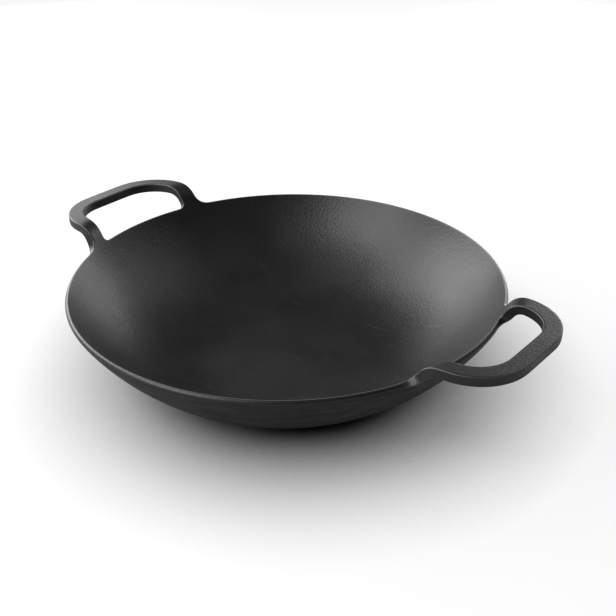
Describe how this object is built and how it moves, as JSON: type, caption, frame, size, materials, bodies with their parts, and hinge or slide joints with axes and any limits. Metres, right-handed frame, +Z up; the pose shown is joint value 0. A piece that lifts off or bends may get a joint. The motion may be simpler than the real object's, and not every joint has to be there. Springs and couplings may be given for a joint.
{
  "type": "wok",
  "caption": "Shallow cast iron wok with a flat base, a thin square-cut rim and a loop handle on each side, in seasoned black iron.",
  "frame": {"origin": "centre of the flat base, on the surface that the wok stands on", "axes": "+X through the middle of the right handle, +Y square to the handles, +Z up out of the bowl"},
  "size_m": [0.46, 0.3592, 0.093],
  "materials": {
    "seasoned_iron": "sand-cast, seasoned black, satin"
  },
  "bodies": {
    "root": {"base": "seasoned_iron", "bowl_wall": "seasoned_iron", "rim": "seasoned_iron", "left_handle": "seasoned_iron", "right_handle": "seasoned_iron"}
  },
  "joints": []
}
